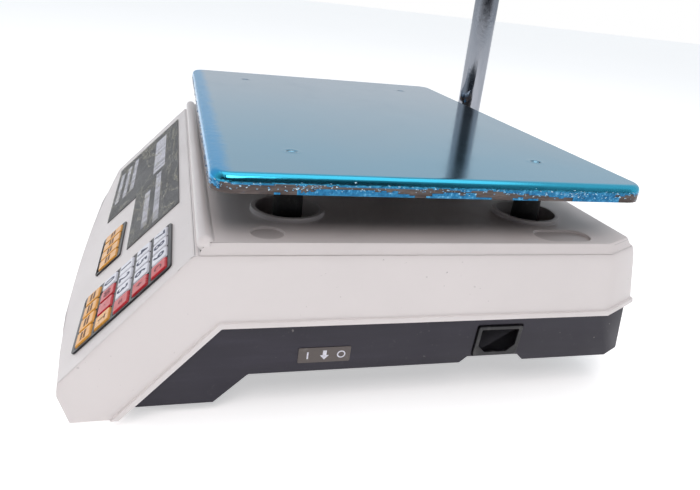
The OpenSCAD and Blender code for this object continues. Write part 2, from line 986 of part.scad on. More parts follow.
// Levelling foot: round pad, plain stem, and a tall neck under the raised rear of the base
module foot(i) {
    pad_bevel = 1.2;
    pad_top = front_clear - foot_gap;
    rear = i > 1;
    color([0.15, 0.15, 0.16])
        translate([foot_spots[i][0], foot_spots[i][1], 0]) {
            cylinder(r1 = foot_pad_r - 1, r2 = foot_pad_r, h = pad_bevel);
            translate([0, 0, pad_bevel])
                cylinder(r = foot_pad_r, h = pad_top - pad_bevel);
            if (rear)
                translate([0, 0, pad_top])
                    cylinder(r1 = foot_pad_r, r2 = foot_pad_r - 3, h = rear_clear - front_clear);
            cylinder(r = foot_stem_r, h = foot_stem_top);
        }
}

// Socket for the pole on the rear wall of the base, with a floor that the pole stands on
module pole_socket() {
    plate_y = base_back_y + 3.2;
    plate_w = 48;
    rib_t = 4;
    rib_x = 8;
    rib_h = 14;
    color("dimgray")
        difference() {
            union() {
                translate([pole_x, pole_y, socket_z])
                    cylinder(r = socket_r, h = socket_top - socket_z);
                translate([pole_x - plate_w / 2, plate_y - 3.6, socket_z])
                    cube([plate_w, 7.4, rib_h]);
                for (x = [-rib_x, rib_x])
                    translate([pole_x + x - rib_t / 2, plate_y - 1, socket_z])
                        cube([rib_t, pole_y - plate_y, rib_h]);
            }
            translate([pole_x, pole_y, socket_z + socket_floor])
                cylinder(r = pole_r + pole_gap, h = 100);
            // Cuts the plate back to the rear wall of the base
            base_solid(-0.01, false);
        }
}

module pole_tube() {
    tube_t = 1.2;
    cap_t = 2;
    foot_z = socket_z + socket_floor + foot_gap;
    color("silver")
        translate([pole_x, pole_y, 0])
            difference() {
                translate([0, 0, foot_z])
                    cylinder(r = pole_r, h = pole_top - foot_z);
                translate([0, 0, foot_z - 1])
                    cylinder(r = pole_r - tube_t, h = pole_top - cap_t - foot_z + 1);
            }
}

// Fork on the pole's top that holds the head's hinge pin
module head_bracket() {
    collar_t = 2.2;
    grip_h = 18;
    cheek = [4, 12, 11.4];
    cheek_x = 11;
    color([0.2, 0.2, 0.22])
        translate([pole_x, pole_y, 0]) {
            difference() {
                union() {
                    translate([0, 0, pole_top - grip_h])
                        cylinder(r = pole_r + collar_t, h = grip_h + 1.2);
                    for (x = [-1, 1])
                        translate([x * cheek_x - cheek[0] / 2, -cheek[1] / 2, pole_top])
                            cube(cheek);
                }
                translate([0, 0, pole_top - grip_h - 1])
                    cylinder(r = pole_r + pole_gap, h = grip_h + 1);
            }
            translate([-pin_half, 0, head_hinge_z])
                rotate([0, 90, 0])
                    cylinder(r = pin_r, h = 2 * pin_half);
        }
}

// A slab of the head's outer shape between two depths, measured from the pole's axis
module head_slab(y0, y1) {
    translate([pole_x, 0, head_z + head_h / 2])
        along_y(pole_y + y0, pole_y + y1)
            soft_rect(head_w, head_h, 6);
}

// The room inside the head
module head_room(y0, depth) {
    translate([pole_x - head_w / 2 + head_wall, pole_y + y0, head_z + head_wall])
        cube([head_w - 2 * head_wall, depth, head_h - 2 * head_wall]);
}

// A block with a window's outline, smaller by gap all round
module window_block(y0, depth, gap) {
    translate([pole_x - window_w / 2 + gap, pole_y + y0, head_z + window_low + gap])
        cube([window_w - 2 * gap, depth, window_h - 2 * gap]);
}

// Front shell of the display head, towards the operator, with the hinge lugs below it
module head_front_shell() {
    lug_r = 5;
    lug_w = 6;
    lug_x = 5.3;
    color("gainsboro")
        difference() {
            union() {
                head_slab(-head_d / 2, 0);
                for (x = [-1, 1])
                    translate([pole_x + x * lug_x - lug_w / 2, pole_y, head_hinge_z]) {
                        rotate([0, 90, 0])
                            cylinder(r = lug_r, h = lug_w);
                        translate([0, -4, 0])
                            cube([lug_w, 4, 2 * lug_r]);
                    }
            }
            head_room(-head_d / 2 + head_wall, head_d);
            window_block(-head_d / 2 - 5, 10, 0);
            translate([pole_x - 20, pole_y, head_hinge_z])
                rotate([0, 90, 0])
                    cylinder(r = pin_r + pole_gap, h = 40);
        }
}

module head_rear_shell() {
    color("gainsboro")
        difference() {
            head_slab(0, head_d / 2);
            head_room(-1, head_d / 2 + 1 - head_wall);
            window_block(head_d / 2 - 5, 10, 0);
        }
}

// Dark windows in both faces of the head, and the board between them
module head_windows() {
    window_t = 1.8;
    color([0.08, 0.09, 0.1]) {
        for (y = [-1, 1])
            window_block(y * (head_d / 2 - 1.6) - window_t / 2, window_t, 0.2);
        window_block(-1, board_t, -2);
    }
}

// Puts the middle of the whole footprint at Y = 0
module seat() {
    translate([0, -seat_shift, 0])
        children();
}

seat() upper_shell();
seat() lower_base();
seat() operator_overlay();
seat() keypad_bezel();
seat() memory_bezel();
seat() switch_label();
seat() spirit_level();
seat() case_screws();
seat() battery_door();
seat() key_board();
seat() display_module();
seat() rocker_body();
seat() rocker();
seat() pan();
seat() pan_film();
seat() pan_posts();
seat() spider();
seat() load_cell();
seat() load_cell_blocks();
seat() load_cell_bolts();
seat() chassis_plate();
seat() transformer();
seat() battery();
seat() main_board();
seat() inlet_body();
seat() inlet_pins();
seat() foot(0);  // foot_front_left
seat() foot(1);  // foot_front_right
seat() foot(2);  // foot_rear_left
seat() foot(3);  // foot_rear_right
seat() pole_socket();
seat() pole_tube();
seat() head_bracket();
seat() head_front_shell();
seat() head_rear_shell();
seat() head_windows();
for (k = KEYPAD)
    seat() keypad_key(k[1], k[2], k[3]);
for (k = MEMORY)
    seat() memory_key(k[1]);
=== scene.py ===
"""Looks of a retail price scale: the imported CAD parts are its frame, and everything here dresses them."""

import json
import math
import random

import bmesh
import bpy
from mathutils import Matrix, Vector, noise


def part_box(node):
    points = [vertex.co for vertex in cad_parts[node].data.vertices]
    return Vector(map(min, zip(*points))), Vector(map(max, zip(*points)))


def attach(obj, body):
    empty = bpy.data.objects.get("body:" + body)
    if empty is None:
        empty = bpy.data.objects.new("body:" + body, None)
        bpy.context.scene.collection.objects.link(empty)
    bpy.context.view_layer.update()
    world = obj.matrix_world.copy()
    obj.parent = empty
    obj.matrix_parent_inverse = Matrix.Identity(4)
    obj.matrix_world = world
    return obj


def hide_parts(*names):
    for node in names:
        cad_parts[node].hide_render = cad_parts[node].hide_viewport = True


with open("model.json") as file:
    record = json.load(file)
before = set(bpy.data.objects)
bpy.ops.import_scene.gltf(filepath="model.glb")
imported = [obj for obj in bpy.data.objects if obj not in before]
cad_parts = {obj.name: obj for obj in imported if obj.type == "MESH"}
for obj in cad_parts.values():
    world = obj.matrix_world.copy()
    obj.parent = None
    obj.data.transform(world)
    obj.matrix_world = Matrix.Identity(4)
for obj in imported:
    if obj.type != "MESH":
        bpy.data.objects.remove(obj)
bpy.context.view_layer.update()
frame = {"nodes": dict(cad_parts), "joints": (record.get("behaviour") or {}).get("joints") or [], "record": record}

MM = 0.001
X_AXIS = Vector((1, 0, 0))
Y_AXIS = Vector((0, 1, 0))
Z_AXIS = Vector((0, 0, 1))
CORNER_SIGNS = ((-1, -1), (1, -1), (1, 1), (-1, 1))
BODY_OF = {n: b for b, group in frame["record"]["behaviour"]["bodies"].items() for n in group}
SLOT_OF = {row["node"]: row["material_slot"] for row in frame["record"]["subparts"]}
AXIS_OF = {joint["child"]: Vector(joint["axis"]).normalized() for joint in frame["joints"]}

# The operator panel: its outward normal is against the keys' travel, and its slope runs up and back
PANEL_OUT = -AXIS_OF["key_7"]
PANEL_UP = X_AXIS.cross(-PANEL_OUT).normalized()
if PANEL_UP.z < 0:
    PANEL_UP = -PANEL_UP


# ---------------------------------------------------------------- camera, floor and light

CAMERA_PLACE = Vector((441.6, -115.7, 208.6)) * MM
CAMERA_YAW = 0.3004
CAMERA_PITCH = 0.3682
CAMERA_ROLL = 0.1168
CAMERA_LENS = 31.92
CAMERA_SHIFT = (-0.0047, -0.0142)


def camera_turn(yaw, pitch, roll):
    """Turn of a camera that looks along -X, yawed towards +Y, dipped by pitch and leaned by roll."""
    forward = Vector((-math.cos(yaw) * math.cos(pitch), math.sin(yaw) * math.cos(pitch), -math.sin(pitch)))
    level = Vector((math.sin(yaw), math.cos(yaw), 0))
    up = level.cross(forward)
    right = math.cos(roll) * level + math.sin(roll) * up
    up = math.cos(roll) * up - math.sin(roll) * level
    return Matrix((right, up, -forward)).transposed()


def add_camera():
    data = bpy.data.cameras.new("camera")
    data.sensor_width = 36
    data.lens = CAMERA_LENS
    data.shift_x, data.shift_y = CAMERA_SHIFT
    data.clip_start = 0.01
    camera = bpy.data.objects.new("camera", data)
    camera.matrix_world = Matrix.Translation(CAMERA_PLACE) @ camera_turn(
        CAMERA_YAW, CAMERA_PITCH, CAMERA_ROLL
    ).to_4x4()
    bpy.context.scene.collection.objects.link(camera)
    bpy.context.scene.camera = camera


def add_light(name, place, target, size, power, tint):
    data = bpy.data.lights.new(name, "AREA")
    data.shape = "RECTANGLE"
    data.size, data.size_y = size
    data.energy = power
    data.color = tint
    light = bpy.data.objects.new(name, data)
    light.location = place
    light.rotation_mode = "QUATERNION"
    light.rotation_quaternion = (Vector(target) - Vector(place)).to_track_quat("-Z", "Y")
    bpy.context.scene.collection.objects.link(light)


ROOM_STRENGTH = 0.66
ROOM_STOPS = ((0.30, (0.88, 0.94, 1.0, 1)), (0.80, (0.03, 0.03, 0.04, 1)))


def add_world(toward_dark):
    """Soft surroundings with one dim side for the bright metal, behind a white backdrop."""
    world = bpy.data.worlds.new("studio")
    world.use_nodes = True
    bpy.context.scene.world = world
    tree = world.node_tree
    room = tree.nodes["Background"]
    room.inputs["Strength"].default_value = ROOM_STRENGTH
    place = tree.nodes.new("ShaderNodeTexCoord")
    dot = tree.nodes.new("ShaderNodeVectorMath")
    dot.operation = "DOT_PRODUCT"
    dot.inputs[1].default_value = toward_dark.normalized()
    ramp = tree.nodes.new("ShaderNodeValToRGB")
    for element, (position, colour) in zip(ramp.color_ramp.elements, ROOM_STOPS):
        element.position = position
        element.color = colour
    tree.links.new(place.outputs["Generated"], dot.inputs[0])
    tree.links.new(dot.outputs["Value"], ramp.inputs["Fac"])
    tree.links.new(ramp.outputs["Color"], room.inputs["Color"])
    backdrop = tree.nodes.new("ShaderNodeBackground")
    backdrop.inputs["Color"].default_value = (1, 1, 1, 1)
    rays = tree.nodes.new("ShaderNodeLightPath")
    choose = tree.nodes.new("ShaderNodeMixShader")
    tree.links.new(rays.outputs["Is Camera Ray"], choose.inputs["Fac"])
    tree.links.new(room.outputs["Background"], choose.inputs[1])
    tree.links.new(backdrop.outputs["Background"], choose.inputs[2])
    tree.links.new(choose.outputs["Shader"], tree.nodes["World Output"].inputs["Surface"])


# ---------------------------------------------------------------- materials

class Paint:
    """A material in the making: a Principled shader and short calls that add the nodes before it."""

    def __init__(self, name, roughness=0.5, metallic=0.0, **uniform):
        self.material = bpy.data.materials.new(name)
        self.material.use_nodes = True
        self.tree = self.material.node_tree
        self.shader = self.tree.nodes["Principled BSDF"]
        self.shader.inputs["Roughness"].default_value = roughness
        self.shader.inputs["Metallic"].default_value = metallic
        for socket, value in uniform.items():
            self.shader.inputs[socket.replace("_", " ")].default_value = value
        coords = self.tree.nodes.new("ShaderNodeTexCoord")
        self.place = coords.outputs["Object"]

    def add(self, kind, values=None, links=None, **settings):
        made = self.tree.nodes.new(kind)
        for key, value in settings.items():
            setattr(made, key, value)
        for key, value in (values or {}).items():
            made.inputs[key].default_value = value
        for key, value in (links or {}).items():
            self.tree.links.new(value, made.inputs[key])
        return made

    def stretched(self, scale):
        return self.add("ShaderNodeMapping", {"Scale": scale}, {"Vector": self.place}).outputs["Vector"]

    def noise(self, scale, detail=4, roughness=0.55, place=None, distortion=0.0):
        values = {"Scale": scale, "Detail": detail, "Roughness": roughness, "Distortion": distortion}
        return self.add("ShaderNodeTexNoise", values, {"Vector": place or self.place}).outputs["Fac"]

    def ramp(self, fac, stops):
        """stops: (position, colour or grey) pairs."""
        made = self.add("ShaderNodeValToRGB", None, {"Fac": fac})
        elements = made.color_ramp.elements
        while len(elements) < len(stops):
            elements.new(0.5)
        for element, (position, colour) in zip(elements, stops):
            element.position = position
            shade = (colour,) * 3 if isinstance(colour, (int, float)) else tuple(colour)
            element.color = (*shade, 1)
        return made.outputs["Color"]

    def mix(self, fac, a, b):
        made = self.add("ShaderNodeMix", data_type="RGBA")
        for socket, value in ((made.inputs[0], fac), (made.inputs[6], a), (made.inputs[7], b)):
            if isinstance(value, (int, float)):
                socket.default_value = value
            elif isinstance(value, tuple):
                socket.default_value = (*value, 1)
            else:
                self.tree.links.new(value, socket)
        return made.outputs[2]

    def math(self, operation, a, b=0.0):
        made = self.add("ShaderNodeMath", operation=operation)
        for socket, value in zip(made.inputs, (a, b)):
            if isinstance(value, (int, float)):
                socket.default_value = value
            else:
                self.tree.links.new(value, socket)
        return made.outputs[0]

    def axis(self, name):
        return self.add("ShaderNodeSeparateXYZ", None, {"Vector": self.place}).outputs[name]

    def span(self, value, low, high):
        """0 below low, 1 above high, smooth between."""
        made = self.add(
            "ShaderNodeMapRange",
            {"From Min": low, "From Max": high},
            {"Value": value},
            interpolation_type="SMOOTHSTEP",
        )
        return made.outputs["Result"]

    def set(self, socket, value):
        self.tree.links.new(value, self.shader.inputs[socket])

    def bump(self, height, depth, strength=1.0, below=None):
        links = {"Height": height}
        if below is not None:
            links["Normal"] = below
        made = self.add("ShaderNodeBump", {"Strength": strength, "Distance": depth}, links)
        self.tree.links.new(made.outputs["Normal"], self.shader.inputs["Normal"])
        return made.outputs["Normal"]


def tinted(colour, share):
    return tuple(max(0.0, min(1.0, c * share)) for c in colour)


# Where the deck's shallow pockets lie; their floors get painted shade
POCKET_Z = 93.5 * MM
POCKET_INNER = 146 * MM
POCKET_OUTER = 169.2 * MM


def moulded_plastic(name, colour, roughness, grain, scuff, dust=0.0, shaded_pocket_z=None):
    """Injection-moulded plastic: spark grain, slow drift of colour, small scuffs, and painted shade that darkens
    the pocket floors.
    """
    p = Paint(name, roughness, **{"Specular_IOR_Level": 0.45})
    drift = p.noise(9, 5)
    base = p.ramp(drift, [(0.3, tinted(colour, 0.955)), (0.7, tinted(colour, 1.03))])
    flecks = p.noise(420, 2, 0.6)
    patches = p.noise(26, 4, 0.65)
    spots = p.math("MULTIPLY", p.span(flecks, 0.70, 0.76), p.span(patches, 0.52, 0.62))
    base = p.mix(p.math("MULTIPLY", spots, scuff), base, tinted(colour, 0.28))
    rubs = p.noise(60, 6, 0.7, p.stretched((1.0, 0.18, 1.0)), 0.6)
    base = p.mix(p.math("MULTIPLY", p.span(rubs, 0.60, 0.78), scuff * 0.35), base, tinted(colour, 0.72))
    if dust:
        settled = p.noise(140, 5, 0.7)
        base = p.mix(p.math("MULTIPLY", p.span(settled, 0.52, 0.75), dust), base, (0.62, 0.60, 0.58))
    # painted shade: the floors of the shallow deck pockets at this height are darkened towards 42 % of the colour
    if shaded_pocket_z:
        across = p.math("ABSOLUTE", p.axis("X"))
        level = p.math("ABSOLUTE", p.math("SUBTRACT", p.axis("Z"), shaded_pocket_z))
        inner = p.span(across, POCKET_INNER, POCKET_INNER + 1 * MM)
        outer = p.span(across, POCKET_OUTER + 0.4 * MM, POCKET_OUTER)
        pocket_shade = p.math("MULTIPLY", inner, outer)
        pocket_shade = p.math("MULTIPLY", pocket_shade, p.span(level, 0.3 * MM, 0.1 * MM))
        base = p.mix(p.math("MULTIPLY", pocket_shade, 0.35), base, tinted(colour, 0.42))
    p.set("Base Color", base)
    shine = p.noise(38, 4, 0.6)
    p.set("Roughness", p.ramp(shine, [(0.3, roughness - 0.07), (0.72, roughness + 0.08)]))
    fine = p.noise(2600, 2, 0.5)
    p.bump(fine, grain * MM, 0.35)
    return p.material


def base_plastic():
    """Dark tray: a blue-grey moulding with faint lengthwise flow lines and pale dust."""
    colour = (0.026, 0.023, 0.036)
    p = Paint("base_plastic", 0.45, **{"Specular_IOR_Level": 0.35})
    flow = p.noise(55, 5, 0.6, p.stretched((1.0, 0.10, 1.0)))
    base = p.ramp(flow, [(0.32, tinted(colour, 0.80)), (0.55, colour), (0.75, tinted(colour, 1.55))])
    dust = p.span(p.noise(210, 6, 0.75), 0.58, 0.80)
    base = p.mix(p.math("MULTIPLY", dust, 0.16), base, (0.22, 0.21, 0.22))
    nicks = p.math("MULTIPLY", p.span(p.noise(330, 2), 0.71, 0.75), p.span(p.noise(22, 3), 0.5, 0.6))
    base = p.mix(p.math("MULTIPLY", nicks, 0.7), base, (0.30, 0.28, 0.27))
    p.set("Base Color", base)
    p.set("Roughness", p.ramp(p.noise(30, 4), [(0.3, 0.36), (0.7, 0.52)]))
    grain = p.bump(p.noise(2200, 2), 0.05 * MM, 0.4)
    p.bump(flow, 0.10 * MM, 0.3, grain)
    return p.material


def brushed_metal(name, colour, roughness, grain_scale, stain=0.3, metallic=1.0):
    """Rolled sheet: fine lines along X, dull patches and a few brown stains."""
    p = Paint(name, roughness, metallic)
    lines = p.noise(grain_scale, 3, 0.6, p.stretched((0.03, 1.0, 1.0)))
    patches = p.noise(34, 5, 0.65)
    base = p.ramp(lines, [(0.3, tinted(colour, 0.80)), (0.7, tinted(colour, 1.12))])
    base = p.mix(p.math("MULTIPLY", p.span(patches, 0.45, 0.70), stain), base, tinted(colour, 0.45))
    p.set("Base Color", base)
    p.set("Roughness", p.ramp(patches, [(0.3, roughness), (0.75, min(1.0, roughness + 0.18))]))
    p.bump(lines, 0.03 * MM, 0.5)
    return p.material


def bare_rim_steel():
    """Stainless edge that lost its film: taupe, streaked and marked with glue."""
    p = Paint("pan_steel", 0.34, 0.85)
    streaks = p.noise(160, 5, 0.7, p.stretched((0.35, 0.35, 2.2)), 0.4)
    taupes = [(0.30, (0.040, 0.032, 0.030)), (0.52, (0.105, 0.085, 0.080)), (0.72, (0.20, 0.17, 0.155))]
    base = p.ramp(streaks, taupes)
    glue = p.span(p.noise(240, 6, 0.75), 0.60, 0.72)
    base = p.mix(p.math("MULTIPLY", glue, 0.5), base, (0.06, 0.16, 0.26))
    p.set("Base Color", base)
    p.set("Roughness", p.ramp(streaks, [(0.3, 0.26), (0.7, 0.50)]))
    p.bump(streaks, 0.08 * MM, 0.5)
    return p.material


RIM_BLUES = [(0.35, (0.010, 0.075, 0.17)), (0.55, (0.025, 0.18, 0.36)), (0.72, (0.22, 0.52, 0.74))]


def blue_film(pan_low, pan_high):
    """Film on bright steel: a pale blue mirror, with a painted reflection that deepens its blue towards the near
    side, turning deep blue where it is doubled at the edges.
    """
    p = Paint("blue_film", 0.1, 0.95, **{"Coat_Weight": 0.12, "Coat_Roughness": 0.08})
    x, y, z = p.axis("X"), p.axis("Y"), p.axis("Z")
    drift = p.noise(5, 4, 0.5)
    # painted reflection: grey-blue on the far side of the sheet, a deeper blue towards the near (+X) side
    near_reflection = p.span(x, pan_low.x, pan_high.x)
    base = p.mix(near_reflection, (0.43, 0.53, 0.63), (0.24, 0.50, 0.66))
    base = p.mix(p.math("MULTIPLY", p.span(drift, 0.35, 0.75), 0.35), base, (0.42, 0.50, 0.56))
    edge = p.noise(90, 5, 0.7)
    wobble = p.math("MULTIPLY", p.math("SUBTRACT", edge, 0.5), 7 * MM)
    front = p.span(p.math("ADD", y, wobble), pan_low.y + 12 * MM, pan_low.y + 5 * MM)
    base = p.mix(front, base, (0.045, 0.42, 0.80))
    frayed_x = p.math("ADD", x, p.math("MULTIPLY", wobble, 0.3))
    side = p.span(frayed_x, pan_high.x - 5.5 * MM, pan_high.x - 3 * MM)
    base = p.mix(side, base, (0.05, 0.50, 0.72))
    rim = p.span(z, pan_high.z - 2.2 * MM, pan_high.z - 4.6 * MM)
    torn = p.ramp(p.noise(420, 6, 0.8), RIM_BLUES)
    base = p.mix(rim, base, torn)
    p.set("Base Color", base)
    smudge = p.noise(24, 6, 0.62, p.stretched((0.6, 1.0, 1.0)), 0.8)
    p.set("Roughness", p.ramp(smudge, [(0.3, 0.09), (0.75, 0.20)]))
    creases = p.noise(150, 4, 0.6, None, 1.2)
    soft = p.bump(p.math("MULTIPLY", creases, p.math("MAXIMUM", front, rim)), 0.5 * MM, 0.7)
    p.bump(p.noise(16, 3), 0.12 * MM, 0.25, soft)
    return p.material


def film_scrap():
    """Ragged bits of the film: whitish where stretched, blue where whole."""
    p = Paint("film_scrap", 0.3, 0.0, **{"Coat_Weight": 0.3})
    blues = [(0.35, (0.05, 0.28, 0.62)), (0.52, (0.35, 0.68, 0.88)), (0.66, (0.88, 0.94, 0.97))]
    p.set("Base Color", p.ramp(p.noise(700, 3, 0.7), blues))
    p.bump(p.noise(900, 2), 0.1 * MM, 0.5)
    return p.material


def printed_film():
    """Printed polyester sheet: near black, satin, with a faint lacquer mottle."""
    p = Paint("overlay_film", 0.5, **{"Specular_IOR_Level": 0.22})
    mottle = p.noise(70, 5, 0.6)
    p.set("Base Color", p.ramp(mottle, [(0.3, (0.075, 0.075, 0.076)), (0.7, (0.130, 0.130, 0.130))]))
    p.set("Roughness", p.ramp(p.noise(25, 4), [(0.3, 0.42), (0.7, 0.60)]))
    p.bump(p.noise(55, 3, 0.5, None, 0.6), 0.25 * MM, 0.35)
    return p.material


def clear_wrap():
    """Loose clear packing film over the panel sheet, with painted highlights: bright yellowish lines along its
    creases.
    """
    p = Paint("clear_wrap", 0.35, **{"Specular_IOR_Level": 0.25})
    lines = p.noise(34, 5, 0.62, p.stretched((0.35, 1.0, 1.0)), 2.2)
    # painted highlight: along the creases the film is lighter, yellower and more opaque than elsewhere
    crease_highlight = p.span(p.math("ABSOLUTE", p.math("SUBTRACT", lines, 0.5)), 0.035, 0.0)
    p.set("Base Color", p.mix(crease_highlight, (0.42, 0.42, 0.44), (0.80, 0.76, 0.55)))
    p.set("Alpha", p.ramp(crease_highlight, [(0.0, 0.07), (1.0, 0.30)]))
    p.bump(lines, 1.2 * MM, 0.6)
    return p.material


def key_plastic(name, colour, wear):
    p = Paint(name, 0.3, **{"Coat_Weight": 0.25, "Coat_Roughness": 0.15})
    drift = p.noise(45, 4, 0.6)
    base = p.ramp(drift, [(0.3, tinted(colour, 0.90)), (0.7, tinted(colour, 1.06))])
    grease = p.span(p.noise(160, 5, 0.7), 0.55, 0.75)
    base = p.mix(p.math("MULTIPLY", grease, wear), base, tinted(colour, 0.6))
    p.set("Base Color", base)
    p.set("Roughness", p.ramp(p.noise(90, 4), [(0.3, 0.24), (0.7, 0.42)]))
    p.bump(p.noise(1800, 2), 0.04 * MM, 0.3)
    return p.material


def ink(name, colour):
    p = Paint(name, 0.45)
    mottle = p.noise(900, 3, 0.7)
    p.set("Base Color", p.ramp(mottle, [(0.3, tinted(colour, 0.75)), (0.7, tinted(colour, 1.15))]))
    p.bump(p.noise(1500, 2), 0.02 * MM, 0.3)
    return p.material


def rubber(name, colour):
    p = Paint(name, 0.75)
    dust = p.span(p.noise(260, 6, 0.75), 0.52, 0.78)
    base = p.ramp(p.noise(30, 3), [(0.3, tinted(colour, 0.8)), (0.7, tinted(colour, 1.3))])
    p.set("Base Color", p.mix(p.math("MULTIPLY", dust, 0.25), base, (0.25, 0.24, 0.23)))
    p.bump(p.noise(1400, 3), 0.08 * MM, 0.5)
    return p.material


def chrome():
    p = Paint("pole_chrome", 0.08, 1.0)
    haze = p.noise(60, 6, 0.7, p.stretched((1.0, 1.0, 0.2)))
    p.set("Base Color", p.ramp(haze, [(0.3, (0.26, 0.28, 0.32)), (0.7, (0.42, 0.43, 0.47))]))
    p.set("Roughness", p.ramp(haze, [(0.3, 0.06), (0.75, 0.22)]))
    p.bump(p.noise(90, 4, 0.6, p.stretched((1.0, 1.0, 0.35)), 0.5), 0.25 * MM, 0.5)
    return p.material


def circuit():
    """Solder mask with copper tracks under it."""
    p = Paint("circuit_board", 0.35)
    tracks = p.add("ShaderNodeTexBrick", {"Scale": 160.0, "Mortar Size": 0.04}, {"Vector": p.place})
    tracks.inputs["Color1"].default_value = (0.018, 0.13, 0.045, 1)
    tracks.inputs["Color2"].default_value = (0.022, 0.16, 0.055, 1)
    tracks.inputs["Mortar"].default_value = (0.06, 0.30, 0.09, 1)
    p.set("Base Color", tracks.outputs["Color"])
    p.bump(p.noise(500, 3), 0.05 * MM, 0.3)
    return p.material


def vial_green():
    p = Paint("level_vial", 0.08, **{"Coat_Weight": 1.0, "Coat_Roughness": 0.03})
    p.set("Base Color", p.ramp(p.noise(80, 3), [(0.3, (0.34, 0.52, 0.06)), (0.7, (0.50, 0.68, 0.12))]))
    p.bump(p.noise(60, 2), 0.05 * MM, 0.2)
    return p.material


def dark_window():
    p = Paint("display_window", 0.08, **{"Coat_Weight": 0.8, "Coat_Roughness": 0.04})
    p.set("Base Color", p.ramp(p.noise(20, 3), [(0.3, (0.010, 0.011, 0.013)), (0.7, (0.020, 0.021, 0.024))]))
    p.set("Roughness", p.ramp(p.noise(70, 6, 0.7), [(0.4, 0.06), (0.8, 0.20)]))
    p.bump(p.noise(12, 2), 0.08 * MM, 0.2)
    return p.material


pan_low, pan_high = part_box("pan")
COVER = (0.780, 0.735, 0.725)
PAINTS = {
    "cover_plastic": moulded_plastic("cover_plastic", COVER, 0.36, 0.05, 0.55, 0.0, POCKET_Z),
    "base_plastic": base_plastic(),
    "overlay_film": printed_film(),
    "bezel_plastic": moulded_plastic("bezel_plastic", (0.016, 0.016, 0.019), 0.32, 0.03, 0.2, 0.10),
    "label_plate": moulded_plastic("label_plate", (0.105, 0.088, 0.082), 0.40, 0.03, 0.3, 0.12),
    "level_vial": vial_green(),
    "zinc_steel": brushed_metal("zinc_steel", (0.55, 0.55, 0.53), 0.32, 900),
    "circuit_board": circuit(),
    "display_cells": dark_window(),
    "switch_plastic": moulded_plastic("switch_plastic", (0.012, 0.012, 0.014), 0.34, 0.03, 0.2, 0.08),
    "pan_steel": bare_rim_steel(),
    "blue_film": blue_film(pan_low, pan_high),
    "post_rubber": rubber("post_rubber", (0.012, 0.012, 0.013)),
    "cast_aluminium": brushed_metal("cast_aluminium", (0.45, 0.45, 0.46), 0.55, 300),
    "bar_aluminium": brushed_metal("bar_aluminium", (0.62, 0.62, 0.63), 0.38, 700),
    "chassis_steel": brushed_metal("chassis_steel", (0.20, 0.22, 0.24), 0.5, 400, 0.3, 0.4),
    "transformer_core": brushed_metal("transformer_core", (0.16, 0.09, 0.05), 0.45, 1200, 0.4, 0.2),
    "battery_case": moulded_plastic("battery_case", (0.03, 0.03, 0.034), 0.40, 0.05, 0.3, 0.1),
    "contact_brass": brushed_metal("contact_brass", (0.92, 0.91, 0.88), 0.5, 900, 0.05, 0.3),
    "foot_rubber": rubber("foot_rubber", (0.022, 0.022, 0.023)),
    "pole_chrome": chrome(),
    "key_white": key_plastic("key_white", (0.80, 0.81, 0.88), 0.12),
    "key_red": key_plastic("key_red", (0.60, 0.025, 0.035), 0.3),
    "key_orange": key_plastic("key_orange", (0.86, 0.40, 0.06), 0.25),
    "display_window": dark_window(),
}
SCRAP = film_scrap()
WRAP = clear_wrap()
DARK_INK = ink("dark_ink", (0.02, 0.03, 0.09))
BROWN_INK = ink("brown_ink", (0.10, 0.035, 0.012))
MAROON_INK = ink("maroon_ink", (0.16, 0.004, 0.012))
LEGEND_INK = {"key_white": DARK_INK, "key_red": MAROON_INK, "key_orange": BROWN_INK}
WHITE_INK = ink("white_ink", (0.74, 0.74, 0.82))
GHOST_INK = ink("ghost_ink", (0.045, 0.047, 0.05))


# ---------------------------------------------------------------- mesh helpers

def link(name, mesh, paint, body, smooth=30):
    """Puts a mesh into the scene as one piece of the scale, riding on a body."""
    piece = bpy.data.objects.new(name, mesh)
    bpy.context.scene.collection.objects.link(piece)
    mesh.materials.clear()
    mesh.materials.append(paint)
    mesh.shade_smooth()
    mesh.set_sharp_from_angle(angle=math.radians(smooth))
    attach(piece, body)
    return piece


def cad_mesh(node, flat=0.6):
    """A clean bmesh of a CAD node: doubled points joined and flat regions turned back into single faces."""
    source = frame["nodes"][node].data
    mesh = bpy.data.meshes.new(node)
    mesh.from_pydata([v.co for v in source.vertices], [], [list(f.vertices) for f in source.polygons])
    bm = bmesh.new()
    bm.from_mesh(mesh)
    bpy.data.meshes.remove(mesh)
    bmesh.ops.remove_doubles(bm, verts=bm.verts, dist=0.002 * MM)
    bmesh.ops.dissolve_limit(
        bm, angle_limit=math.radians(flat), use_dissolve_boundaries=False, verts=bm.verts, edges=bm.edges
    )
    return bm


def to_mesh(bm, name):
    mesh = bpy.data.meshes.new(name)
    bm.to_mesh(mesh)
    bm.free()
    return mesh


def soften(piece, width, segments=2, angle=32):
    """Rounds a piece's edges with a bevel and evens its shading."""
    bevel = piece.modifiers.new("edges", "BEVEL")
    bevel.width = width * MM
    bevel.segments = segments
    bevel.limit_method = "ANGLE"
    bevel.angle_limit = math.radians(angle)
    bevel.use_clamp_overlap = False
    bevel.miter_outer = "MITER_ARC"
    even = piece.modifiers.new("shading", "WEIGHTED_NORMAL")
    even.keep_sharp = False
    return piece


def restore(node, name, width, segments=2, angle=32, shape=None):
    """Stands a softened copy in for a CAD node."""
    bm = cad_mesh(node)
    if shape:
        shape(bm)
    piece = link(name, to_mesh(bm, name), PAINTS[SLOT_OF[node]], BODY_OF[node])
    soften(piece, width, segments, angle)
    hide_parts(node)
    return piece


def carry_over(node):
    """Gives a CAD node that stays as it is its finish."""
    data = frame["nodes"][node].data
    data.materials.clear()
    data.materials.append(PAINTS[SLOT_OF[node]])


# ---------------------------------------------------------------- casing

